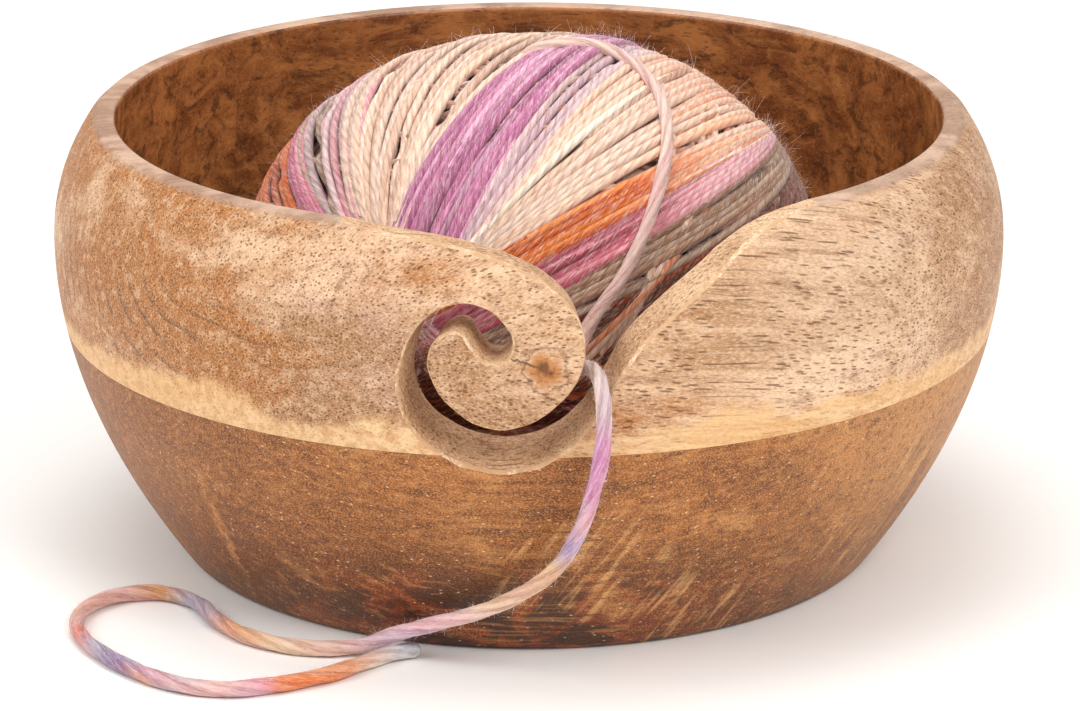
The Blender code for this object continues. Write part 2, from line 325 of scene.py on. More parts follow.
def base_wood():
    """Red-brown wood, darker towards the foot as painted shade where the wall faces down, with
    lighter curly figure.
    """
    paint = Paint("base_wood", 0.5, 0.4)
    place = paint.place()
    grain = grain_of(paint, place, 4.0)
    x, y, z = paint.parts(place)
    broad = paint.noise(place, (0.022, 0.03, 0.045), 4.0, 0.62, 0.6)
    # painted shade: darker towards the foot, where the wall faces down
    low = paint.times_plus(broad, 34.0, paint.minus(z, 17.0))
    paint.begin((96, 46, 20), (154, 91, 43), low, 4.0, 34.0)
    cloud = paint.noise(place, (0.05, 0.06, 0.10), 4.0, 0.66, 0.5)
    paint.stain((106, 54, 22), cloud, 0.5, 0.66, 0.75)
    paint.stain((206, 146, 86), cloud, 0.48, 0.32, 0.6)
    # lighter and more golden on the right, darker on the left: partly the wood's colour, partly
    # painted light from the right
    paint.cover((208, 150, 92), paint.step(x, 36.0, 74.0), 0.6)
    paint.stain((114, 62, 30), x, -20.0, -64.0, 0.55)

    # dark patches low on the front: partly dark heartwood, partly painted shade where the foot
    # faces down
    heart_and_shade = paint.noise(place, (0.055, 0.06, 0.075), 5.0, 0.68, 1.0)
    middle = paint.step(paint.math("ABSOLUTE", paint.math("ADD", x, 4.0)), 52.0, 14.0)
    foot = paint.times(paint.step(z, 28.0, 9.0), paint.times_plus(middle, 0.75, 0.25))
    dark = paint.times(paint.step(heart_and_shade, 0.40, 0.50), foot)
    paint.cover((46, 24, 16), dark, 0.92)
    red = paint.times(paint.step(heart_and_shade, 0.34, 0.44), paint.step(heart_and_shade, 0.54, 0.46))
    paint.cover((140, 52, 20), red, foot, 0.8)

    # curly figure: light slanting flames in patches
    slant = paint.stretch(place, (0.8, 0.18, 0.05), (0.0, -32.0, 0.0))
    flame = paint.noise(slant, 1.0, 1.5, 0.5, 0.15)
    where = paint.noise(place, (0.04, 0.04, 0.032), 2.0, 0.5)
    where = paint.times(paint.step(where, 0.5, 0.64), paint.step(z, 40.0, 30.0))
    paint.cover((232, 176, 114), paint.step(flame, 0.51, 0.74), where, 0.7)
    paint.cover((104, 56, 28), paint.step(flame, 0.47, 0.34), where, 0.6)

    # one pale streak slanting down the left of the front
    dx = paint.times_plus(z, 0.33, paint.math("ADD", x, 49.0))
    rag = paint.noise(place, (0.5, 0.5, 0.18), 3.0, 0.65)
    streak = paint.step(paint.math("ABSOLUTE", dx), 1.3, 0.1)
    streak = paint.times(streak, paint.step(rag, 0.36, 0.56))
    ends = paint.times(paint.step(z, 4.0, 16.0), paint.step(z, 40.0, 22.0))
    paint.cover((224, 156, 88), streak, ends, paint.step(y, -30.0, -42.0), 0.6)

    # fine lines along the grain, and a granular sparkle
    lines = paint.noise(grain, (0.03, 0.8, 0.8), 4.0, 0.68, 0.3)
    paint.stain((90, 46, 20), lines, 0.5, 0.66, 0.75)
    paint.stain((214, 150, 90), lines, 0.48, 0.34, 0.4)
    fleck = paint.noise(grain, (2.6, 4.4, 4.4), 2.0, 0.75)
    paint.cover((222, 156, 86), paint.step(fleck, 0.51, 0.62), paint.times_plus(dark, -0.5, 0.62))
    paint.stain((66, 34, 14), fleck, 0.48, 0.36, 0.66)
    distance, number = paint.cells(paint.stretch(grain, (0.6, 1.25, 1.25)))
    glint = paint.step(distance, 0.24, 0.1)
    paint.cover((252, 214, 164), glint, paint.step(number, 0.72, 0.84), 0.7)
    height = paint.math("ADD", fleck, paint.times(lines, 0.5))
    return paint.finish(height, 0.08, 0.8, paint.step(fleck, 0.3, 0.7, 0.42, 0.58))


def inner_wood():
    """The inside, darker than the outside, partly from its oiled finish and partly as painted
    shade; mottled and streaked.
    """
    paint = Paint("inner_wood", 0.36, 0.5)
    place = paint.place()
    grain = grain_of(paint, place, 6.0)
    swirl = paint.noise(grain, (0.03, 0.06, 0.07), 5.0, 0.66, 1.4)
    streak = paint.noise(grain, (0.025, 0.3, 0.3), 4.0, 0.65, 0.7)
    # a darker base colour: partly the oiled finish, partly painted shade inside the bowl
    paint.begin((122, 66, 30), (182, 116, 62), swirl, 0.34, 0.66)
    paint.stain((74, 38, 18), streak, 0.48, 0.66, 0.75)
    paint.stain((208, 144, 82), streak, 0.46, 0.3, 0.35)
    hole = pores(paint, grain, streak, 1.1)
    paint.cover((58, 32, 18), hole, 0.4)
    fleck = paint.noise(place, 1.6, 2.0, 0.7)
    paint.stain((206, 150, 100), fleck, 0.5, 0.75, 0.3)
    return paint.finish(paint.minus(fleck, hole), 0.06, 0.6)


def cut_wood():
    """The sawn and sanded faces of the slot."""
    paint = Paint("cut_wood", 0.7, 0.25)
    place = paint.place()
    grain = grain_of(paint, place)
    fleck = paint.noise(grain, (1.6, 2.4, 2.4), 2.0, 0.7)
    paint.begin((190, 147, 109), (220, 180, 141), paint.noise(place, 0.09, 3.0, 0.6), 0.35, 0.65)
    paint.stain((244, 214, 180), fleck, 0.5, 0.7, 0.6)
    paint.stain((116, 78, 48), fleck, 0.5, 0.3, 0.7)
    hole = pores(paint, grain, fleck, 1.1, 0.25)
    paint.cover((90, 60, 40), hole, 0.55)
    return paint.finish(paint.minus(fleck, hole), 0.16, 0.8)


def worn_and_highlit_wood():
    """The sharp edges of the slot, ragged and pale: partly rubbed wear, partly painted highlight.
    """
    paint = Paint("worn_and_highlit_wood", 0.75, 0.2)
    place = paint.place()
    rag = paint.noise(place, 1.1, 3.0, 0.7)
    # paler patches along the edges: partly rubbed wear, partly painted highlight
    patch = paint.step(paint.noise(place, 0.16, 3.0, 0.6), 0.42, 0.6, 0.06, 0.75)
    paint.colour = srgb(202, 160, 120)
    paint.cover((244, 220, 188), paint.step(rag, 0.4, 0.6), patch)
    return paint.finish(rag, 0.2, 0.8)


# ---- The bowl's shape, in millimetres ----

BOWL_HEIGHT = 82.6
WIDEST_RADIUS = 89.0
WIDEST_HEIGHT = 59.0
FOOT_RADIUS = 66.1
FOOT_CURVE = 1.92
RIM_OUTER_RADIUS = 81.2
RIM_CURVE = 2.2
RIM_INNER_RADIUS = 77.1
RIM_FILLET = 0.9
CAVITY_RADIUS = 77.6
CAVITY_WIDEST_HEIGHT = 62.0
CAVITY_CURVE = 2.6
FLOOR_HEIGHT = 13.3
GLUE_HEIGHT = 43.9
GLUE_GAP = 0.03
FOOT_CHAMFER = 0.8
TURNED_STEPS = 288

SLOT_ARC_RADIUS = 88.0
SLOT_INNER_REACH = 66.0
SLOT_OUTER_REACH = 98.0
SLOT_LEVEL_HEIGHT = 58.0
SLOT_FLOOR_TILT = 1.25
SLOT_STRIP = 4.0
SLOT_STEPS = 12
EDGE_WEAR = 0.36
EDGE_RAGGED = 0.55
SHARP_ANGLE = 32.0
SLOT_OUTLINE = (
    (-58.0, 96.0), (-50.0, 84.0), (-38.0, 82.7), (-28.0, 81.7), (-18.0, 80.9),
    (-9.6, 79.5), (-2.0, 77.2), (4.4, 73.7), (8.4, 69.4), (9.7, 64.8),
    (8.9, 59.3), (5.1, 53.9), (-1.1, 49.8), (-7.2, 49.4), (-13.0, 52.7),
    (-16.7, 57.8), (-17.4, 62.7), (-14.9, 66.1), (-11.6, 66.4),
    (-9.4, 63.6), (-7.1, 61.6), (-4.2, 61.9), (-2.8, 64.8), (-4.2, 68.0),
    (-8.6, 71.0), (-13.6, 71.0), (-18.6, 68.0), (-21.9, 61.6), (-22.6, 55.0),
    (-20.6, 49.1), (-15.6, 44.1), (-9.0, 41.1), (-2.0, 40.9), (4.8, 43.8),
    (10.2, 49.3), (14.2, 56.0), (19.0, 63.4), (25.2, 68.5), (34.0, 74.4),
    (41.7, 79.0), (49.5, 81.5), (60.0, 82.6), (72.0, 84.2), (80.0, 96.0),
)


def outer_radius(height):
    if height < WIDEST_HEIGHT:
        share = (WIDEST_HEIGHT - height) / WIDEST_HEIGHT
        return WIDEST_RADIUS - (WIDEST_RADIUS - FOOT_RADIUS) * share**FOOT_CURVE
    share = (height - WIDEST_HEIGHT) / (BOWL_HEIGHT - WIDEST_HEIGHT)
    return WIDEST_RADIUS - (WIDEST_RADIUS - RIM_OUTER_RADIUS) * share**RIM_CURVE


def cavity_radius(height):
    if height > CAVITY_WIDEST_HEIGHT:
        share = (height - CAVITY_WIDEST_HEIGHT) / (BOWL_HEIGHT - CAVITY_WIDEST_HEIGHT)
        return CAVITY_RADIUS - (CAVITY_RADIUS - RIM_INNER_RADIUS) * share**2
    share = (CAVITY_WIDEST_HEIGHT - height) / (CAVITY_WIDEST_HEIGHT - FLOOR_HEIGHT)
    return CAVITY_RADIUS * max(0.0, 1.0 - share**CAVITY_CURVE) ** (1.0 / CAVITY_CURVE)


def fillet(radius, height, direction, turn, steps):
    """A round of RIM_FILLET about (radius, height), angles in degrees."""
    angles = [math.radians(direction + turn * i / steps) for i in range(steps + 1)]
    return [
        (radius + RIM_FILLET * math.cos(a), height + RIM_FILLET * math.sin(a))
        for a in angles
    ]


def solid(shape, name, materials):
    """A linked object from a shape that is closed, with its faces turned outward."""
    bmesh.ops.recalc_face_normals(shape, faces=shape.faces)
    if shape.calc_volume(signed=True) < 0.0:
        bmesh.ops.reverse_faces(shape, faces=shape.faces)
    mesh = bpy.data.meshes.new(name)
    shape.to_mesh(mesh)
    shape.free()
    for material in materials:
        mesh.materials.append(material)
    return link(bpy.data.objects.new(name, mesh))


def turned(name, profile, closed, inner, materials):
    """A profile of (radius, height) spun about Z. Its first segments, as many as
    inner says, take the second material."""
    shape = bmesh.new()
    rings = []
    for radius, height in profile:
        count = TURNED_STEPS if radius > 0.0 else 1
        rings.append([
            shape.verts.new((
                radius * MM * math.cos(TURN * i / TURNED_STEPS),
                radius * MM * math.sin(TURN * i / TURNED_STEPS),
                height * MM,
            ))
            for i in range(count)
        ])
    pairs = list(zip(rings, rings[1:] + (rings[:1] if closed else [])))
    for number, (one, two) in enumerate(pairs):
        for i in range(TURNED_STEPS):
            j = (i + 1) % TURNED_STEPS
            corners = [one[i % len(one)], one[j % len(one)], two[j % len(two)], two[i % len(two)]]
            face = shape.faces.new(list(dict.fromkeys(corners)))
            face.material_index = 1 if number < inner else 0
            face.smooth = True
    return solid(shape, name, materials)


def base_profile():
    top = GLUE_HEIGHT - GLUE_GAP / 2.0
    cavity = CAVITY_WIDEST_HEIGHT - FLOOR_HEIGHT
    profile = [(0.0, FLOOR_HEIGHT)]
    for angle in range(4, 70, 3):
        radius = CAVITY_RADIUS * math.sin(math.radians(angle))
        share = 1.0 - (radius / CAVITY_RADIUS) ** CAVITY_CURVE
        profile.append((radius, CAVITY_WIDEST_HEIGHT - cavity * share ** (1.0 / CAVITY_CURVE)))
    profile += [(cavity_radius(z), z) for z in np.linspace(profile[-1][1], top, 10)[1:]]
    inner = len(profile) - 1
    profile += [(outer_radius(z), z) for z in np.linspace(top, FOOT_CHAMFER, 36)]
    foot = outer_radius(0.0) - FOOT_CHAMFER
    profile += [(foot + 0.45, 0.22), (foot, 0.0), (foot - 6.0, 0.0), (0.0, 0.0)]
    return profile, inner


def rim_profile():
    bottom = GLUE_HEIGHT + GLUE_GAP / 2.0
    shoulder = BOWL_HEIGHT - RIM_FILLET
    profile = [(cavity_radius(z), z) for z in np.linspace(bottom, shoulder - 0.6, 22)]
    profile += fillet(RIM_INNER_RADIUS + RIM_FILLET, shoulder, 180.0, -90.0, 6)
    inner = len(profile) - 4
    profile += fillet(RIM_OUTER_RADIUS - RIM_FILLET, shoulder, 90.0, -64.0, 5)
    profile += [(outer_radius(z), z) for z in np.linspace(shoulder - 0.5, bottom, 36)]
    return profile, inner


def slot_outline():
    """The slot's outline as an even, smooth loop of flat points."""
    curve = bpy.data.curves.new("slot_outline", "CURVE")
    curve.dimensions = "3D"
    curve.resolution_u = SLOT_STEPS
    spline = curve.splines.new("BEZIER")
    spline.bezier_points.add(len(SLOT_OUTLINE) - 1)
    spline.use_cyclic_u = True
    for point, (along, height) in zip(spline.bezier_points, SLOT_OUTLINE):
        point.co = (along, height, 0.0)
        point.handle_left_type = "AUTO"
        point.handle_right_type = "AUTO"
    outline = link(bpy.data.objects.new("slot_outline", curve))
    bpy.context.view_layer.update()
    mesh = outline.to_mesh()
    points = np.array([vertex.co[:2] for vertex in mesh.vertices])
    outline.to_mesh_clear()
    bpy.data.objects.remove(outline, do_unlink=True)
    return points


def make_slot_cutter(materials):
    """The slot as a solid bent round the wall. Near the wall's two surfaces it
    widens a little, so that it leaves worn, rounded edges."""
    points = slot_outline()
    ahead = np.roll(points, -1, axis=0) - np.roll(points, 1, axis=0)
    outward = np.stack([ahead[:, 1], -ahead[:, 0]], 1)
    outward /= np.linalg.norm(outward, axis=1)[:, None]
    x, y = points.T
    outward *= np.sign(np.sum(x * np.roll(y, -1) - np.roll(x, -1) * y))
    count = len(points)
    ragged = random.normal(size=count)
    ragged = sum(np.roll(ragged, shift) for shift in range(-2, 3)) / 5.0
    wear = EDGE_WEAR * np.clip(1.0 + EDGE_RAGGED * ragged, 0.45, 1.7)
    # each layer: which surface it is measured from, how far beyond it, and how wide
    layers = (
        ("reach", SLOT_INNER_REACH, 1.5), ("inner", -0.05, 1.0), ("inner", 0.3, 0.3),
        ("inner", 0.9, 0.0), ("outer", -0.9, 0.0), ("outer", -0.35, 0.28),
        ("outer", 0.03, 1.0), ("reach", SLOT_OUTER_REACH, 1.8),
    )
    shape = bmesh.new()
    rings = []
    for level, (_, _, width) in enumerate(layers):
        ring = points + outward * (wear * width)[:, None]
        rings.append([shape.verts.new((x, y, level)) for x, y in ring])
    for level, (one, two) in enumerate(zip(rings, rings[1:])):
        for i in range(count):
            j = (i + 1) % count
            face = shape.faces.new((one[i], one[j], two[j], two[i]))
            face.material_index = 2 if level == 3 else 3
    caps = [shape.faces.new(rings[0]), shape.faces.new(rings[-1])]
    bmesh.ops.triangulate(shape, faces=caps)
    low, high = points[:, 0].min(), points[:, 0].max()
    for strip in range(1, math.ceil((high - low) / SLOT_STRIP)):
        bmesh.ops.bisect_plane(
            shape,
            geom=shape.verts[:] + shape.edges[:] + shape.faces[:],
            plane_co=(low + strip * SLOT_STRIP, 0.0, 0.0),
            plane_no=(1.0, 0.0, 0.0),
        )
    bmesh.ops.triangulate(shape, faces=shape.faces)

    def reach_of(level, height):
        kind, value, _ = layers[level]
        height = min(height, BOWL_HEIGHT)
        if kind == "inner":
            return cavity_radius(height) + value
        if kind == "outer":
            return outer_radius(height) + value
        return value

    for vertex in shape.verts:
        along, height, level = vertex.co
        below = min(int(level), len(layers) - 2)
        reach = reach_of(below, height)
        reach += (reach_of(below + 1, height) - reach) * (level - below)
        if height < SLOT_LEVEL_HEIGHT:
            tilt = SLOT_FLOOR_TILT * (1.0 - reach / SLOT_ARC_RADIUS)
            height += (SLOT_LEVEL_HEIGHT - height) * tilt
        azimuth = along / SLOT_ARC_RADIUS
        vertex.co = Vector((reach * math.sin(azimuth), -reach * math.cos(azimuth), height)) * MM
    return solid(shape, "slot_cutter", materials)


def cut(block, cutter):
    modifier = block.modifiers.new("slot", "BOOLEAN")
    modifier.operation = "DIFFERENCE"
    modifier.solver = "EXACT"
    modifier.object = cutter
    bpy.context.view_layer.update()
    graph = bpy.context.evaluated_depsgraph_get()
    mesh = bpy.data.meshes.new_from_object(block.evaluated_get(graph))
    block.modifiers.clear()
    old = block.data
    block.data = mesh
    bpy.data.meshes.remove(old)
    mesh.shade_smooth()
    mesh.set_sharp_from_angle(angle=math.radians(SHARP_ANGLE))


def make_bowl():
    inside, sawn, worn = inner_wood(), cut_wood(), worn_and_highlit_wood()
    blocks = (
        ("turned_base", base_profile(), False, base_wood(), "base_block", "dark_wood"),
        ("turned_rim", rim_profile(), True, rim_wood(), "rim_block", "pale_wood"),
    )
    for name, (profile, inner), closed, wood, node, slot in blocks:
        materials = (wood, inside, sawn, worn)
        block = turned(name, profile, closed, inner, materials)
        cutter = make_slot_cutter(materials)
        cut(block, cutter)
        bpy.data.objects.remove(cutter, do_unlink=True)
        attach(block, "bowl")
        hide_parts(node)


# ---- Yarn ----

STRAND_PLIES = 4
WRAP_PLIES = 4


def yarn_paint(name, plies, groove, depth):
    """Plied yarn. The mesh holds each point's place in the strand pulled
    straight and untwisted, in millimetres, so plies and fibres run in helices."""
    paint = Paint(name, 0.92, 0.12, Sheen_Weight=0.3, Sheen_Roughness=0.5)
    paint.colour = paint.node("Attribute", attribute_name="tint").outputs["Color"]
    straight = paint.node("Attribute", attribute_name="straight").outputs["Vector"]
    _, y, z = paint.parts(straight)
    angle = paint.math("ARCTAN2", z, y)
    cloud = paint.noise(straight, (0.1, 0.5, 0.5), 2.0, 0.5)
    angle = paint.times_plus(cloud, 1.6, paint.times(angle, plies))
    ply = paint.times_plus(paint.math("COSINE", angle), 0.5, 0.5)
    fibre = paint.noise(straight, (0.5, 5.0, 5.0), 3.0, 0.7)
    thread = paint.noise(straight, (0.16, 2.4, 2.4), 2.0, 0.6)
    # painted shade darkens the grooves between plies; the thread and fibre noise is the yarn's own
    # uneven tone
    for value, high, low, most, shade in (
        (ply, 0.8, 0.0, groove, srgb(150, 92, 80)),
        (thread, 0.47, 0.3, 0.4, srgb(196, 148, 138)),
        (fibre, 0.46, 0.3, 0.45, srgb(180, 130, 114)),
    ):
        share = paint.step(value, high, low, 0.0, most)
        paint.colour = paint.mix(share, paint.colour, shade, "MULTIPLY")
    paint.stain((255, 244, 234), fibre, 0.52, 0.68, 0.4)
    paint.stain((255, 240, 230), thread, 0.52, 0.7, 0.22)
    height = paint.times_plus(ply, groove, fibre)
    return paint.finish(paint.times_plus(thread, 0.8, height), depth, 0.9)


class Tubes:
    """Gathers tubes into one mesh, with a tint and a straightened place."""

    def __init__(self):
        self.places, self.tints, self.straights, self.quads, self.ends = [], [], [], [], []
        self.count = 0

    def add(self, places, tint, straight, closed):
        """Adds one tube: places is rings by sides by 3, listed along the tube."""
        rings, sides = places.shape[:2]
        index = self.count + np.arange(rings * sides).reshape(rings, sides)
        after = np.roll(index, -1, axis=1)
        last = rings if closed else rings - 1
        ahead, ahead_after = np.roll(index, -1, axis=0), np.roll(after, -1, axis=0)
        quads = np.stack([index, after, ahead_after, ahead], -1)[:last]
        self.quads.append(quads.reshape(-1, 4))
        if not closed:
            self.ends += [index[0][::-1], index[-1]]
        self.places.append(places.reshape(-1, 3))
        self.tints.append(np.broadcast_to(tint, places.shape).reshape(-1, 3))
        self.straights.append(np.broadcast_to(straight, places.shape).reshape(-1, 3))
        self.count += rings * sides

    def make(self, name, material):
        mesh = bpy.data.meshes.new(name)
        faces = [*np.concatenate(self.quads).tolist(), *[end.tolist() for end in self.ends]]
        mesh.from_pydata((np.concatenate(self.places) * MM).tolist(), [], faces)
        tints = np.pad(np.concatenate(self.tints), ((0, 0), (0, 1)), constant_values=1.0)
        for label, kind, key, values in (
            ("tint", "FLOAT_COLOR", "color", tints),
            ("straight", "FLOAT_VECTOR", "vector", np.concatenate(self.straights)),
        ):
            attribute = mesh.attributes.new(label, kind, "POINT")
            attribute.data.foreach_set(key, values.astype(np.float32).ravel())
        mesh.shade_smooth()
        mesh.materials.append(material)
        return link(bpy.data.objects.new(name, mesh))


def unit(vectors):
    return vectors / np.linalg.norm(vectors, axis=-1, keepdims=True)


def smooth_path(route, step, fine=24):
    """Points about a step apart on the smooth curve through a route."""
    knots = np.array(route, float)
    knots = np.vstack([2 * knots[0] - knots[1], knots, 2 * knots[-1] - knots[-2]])
    t = np.linspace(0.0, 1.0, fine + 1)[1:, None]
    curve = [knots[1:2]]
    for before, start, end, after in zip(knots, knots[1:], knots[2:], knots[3:]):
        curve.append(0.5 * (
            2 * start + (end - before) * t
            + (2 * before - 5 * start + 4 * end - after) * t**2
            + (3 * start - before - 3 * end + after) * t**3
        ))
    curve = np.vstack(curve)
    reached = np.cumsum(np.linalg.norm(np.diff(curve, axis=0, prepend=curve[:1]), axis=1))
    want = np.linspace(0.0, reached[-1], round(reached[-1] / step) + 1)
    points = np.stack([np.interp(want, reached, curve[:, k]) for k in range(3)], 1)
    return points, want, reached[::fine]


def carried_frames(points):
    """At each point of a path, two directions square to it that don't twist."""
    along = unit(np.gradient(points, axis=0))
    side = unit(np.cross(along[0], (0.0, 0.0, 1.0)))
    sides = []
    for direction in along:
        side = side - direction * (side @ direction)
        side = side / np.linalg.norm(side)
        sides.append(side)
    sides = np.array(sides)
    return along, sides, np.cross(along, sides)


def ring_of(one, two, angles):
    """Directions at each angle round a path, from its two square directions."""
    cos, sin = np.cos(angles)[None, :, None], np.sin(angles)[None, :, None]
    return one[:, None] * cos + two[:, None] * sin


HAIR_POINTS = 5
HAIR_SIDES = 3
HAIR_CURL = 0.4
HAIR_MOST_CURL = 0.6
HAIR_CURLY_LENGTH = 1.4
HAIR_LOWEST = 0.1


def hair(tubes, start, direction, length, tint, thickness):
    """One stray fibre: a thin closed tube that curls as it leaves."""
    curl = np.clip(random.normal(size=3) * HAIR_CURL, -HAIR_MOST_CURL, HAIR_MOST_CURL)
    curl = curl * max(1.0, length / HAIR_CURLY_LENGTH)
    t = np.linspace(0.0, 1.0, HAIR_POINTS)[:, None]
    points = start + (direction * t + curl * t**2) * length
    points[:, 2] = np.maximum(points[:, 2], HAIR_LOWEST)
    _, one, two = carried_frames(points)
    radius = thickness * (1.0 - 0.55 * t)
    angles = np.arange(HAIR_SIDES) * TURN / HAIR_SIDES
    places = points[:, None] + radius[:, None] * ring_of(one, two, angles)
    tubes.add(places, tint, (length, 0.4, 0.0), False)


# The loose strand, in millimetres. The buried points lead it up out of the
# winding, in place of the lead's first point.
STRAND_DIAMETER = 3.0
STRAND_PITCH = 34.0
STRAND_SIDES = 32
STRAND_STEP = 0.36
STRAND_END_ROUND = 1.2
STRAND_LOWEST = 0.05
# pulled thinner where it is taut over the ball: route points and shares
STRAND_TAUT = ((0.0, 9.0, 13.0, 18.0), (0.8, 0.82, 0.9, 0.96))
BURIED_ROUTE = ((-4.6, -12.9, 89.4), (-2.4, -12.3, 93.4), (0.2, -11.5, 96.2))
LEAD_ROUTE = (
    (-4.0, -12.6, 96.9), (3.6, -10.6, 97.2), (10.7, -7.6, 96.9),
    (17.1, -10.6, 95.4), (21.5, -16.8, 93.2), (24.1, -23.4, 90.5),
    (25.0, -31.6, 86.2), (24.2, -38.2, 81.7), (22.3, -44.0, 76.4),
    (19.6, -48.8, 70.7), (15.9, -53.0, 64.8), (12.0, -56.0, 60.2),
)
WORKING_ROUTE = (
    (9.4, -59.4, 56.4), (8.2, -64.8, 54.0),
    (8.7, -71.2, 54.8), (10.2, -77.2, 57.0), (11.6, -83.6, 58.1),
    (12.5, -88.6, 56.9), (12.9, -91.4, 52.6), (12.6, -92.0, 46.6),
    (11.4, -91.5, 40.4), (8.9, -89.6, 31.4), (4.6, -86.5, 23.1),
    (-1.6, -82.4, 16.8), (-8.6, -78.2, 12.0), (-15.8, -74.4, 8.5),
    (-23.4, -70.8, 5.0), (-29.6, -69.4, 2.3), (-37.0, -69.4, 1.6),
    (-44.4, -67.5, 1.6), (-51.6, -62.4, 1.6), (-56.8, -55.0, 1.6),
    (-60.8, -46.6, 1.6), (-67.4, -41.6, 1.6), (-75.0, -42.6, 1.6),
    (-80.6, -48.8, 1.6), (-81.8, -57.6, 1.6), (-79.0, -66.6, 1.6),
    (-72.6, -76.4, 1.6), (-63.8, -85.0, 1.6), (-54.2, -88.7, 1.6),
    (-44.4, -86.6, 1.6), (-35.2, -81.6, 1.6), (-28.6, -75.6, 1.6),
    (-23.4, -71.3, 1.6), (-19.4, -69.6, 1.6),
)
# The dye along the strand: a place, counted in route points from where the
# strand leaves the ball, then the screen colours of its two pairs of plies.
STRAND_DYES = (
    (-2.0, 240, 208, 190, 228, 190, 178), (8.0, 238, 206, 192, 228, 186, 178),
    (11.0, 206, 160, 152, 214, 178, 160), (14.0, 196, 148, 150, 210, 168, 158),
    (16.5, 228, 208, 198, 208, 188, 186), (18.0, 226, 202, 196, 210, 180, 190),
    (18.8, 226, 150, 180, 212, 140, 190), (20.2, 222, 152, 184, 206, 150, 196),
    (20.8, 230, 176, 184, 186, 196, 208), (21.4, 176, 152, 196, 204, 172, 192),
    (22.0, 242, 208, 156, 228, 178, 140), (23.0, 244, 212, 168, 232, 184, 160),
    (24.0, 244, 200, 192, 242, 216, 164), (25.0, 242, 194, 200, 216, 184, 206),
    (26.4, 240, 190, 198, 222, 190, 206), (27.5, 244, 208, 190, 236, 196, 186),
    (29.0, 242, 210, 172, 238, 190, 170), (30.4, 232, 150, 84, 226, 160, 130),
    (31.2, 164, 128, 156, 186, 164, 178), (32.1, 172, 178, 194, 196, 170, 194),
    (33.0, 222, 156, 92, 232, 168, 160), (34.0, 238, 190, 182, 232, 178, 170),
    (35.0, 240, 192, 184, 234, 180, 164), (36.0, 228, 174, 166, 216, 160, 150),
    (36.6, 212, 96, 80, 218, 134, 118), (37.3, 168, 172, 190, 222, 150, 162),
    (38.1, 140, 100, 150, 160, 164, 190), (38.7, 232, 172, 140, 206, 150, 170),
    (39.1, 168, 176, 194, 214, 170, 176), (39.9, 238, 198, 184, 228, 180, 178),
    (40.7, 232, 160, 172, 206, 172, 200), (41.1, 238, 130, 66, 234, 158, 108),
    (42.4, 240, 128, 58, 236, 156, 104), (43.1, 240, 190, 178, 238, 214, 190),
    (44.0, 176, 186, 200, 236, 226, 218), (45.2, 186, 192, 202, 240, 230, 220),
)
STRAND_HAIRS = 2600
HAIR_ROOT = 0.15
HAIR_CLEARANCE = 0.4
STRAND_HAIR_LENGTHS = (0.6, 1.3)
STRAND_HAIR_RADIUS = 0.03
STRAND_HAIR_TINT = srgb(250, 236, 226)


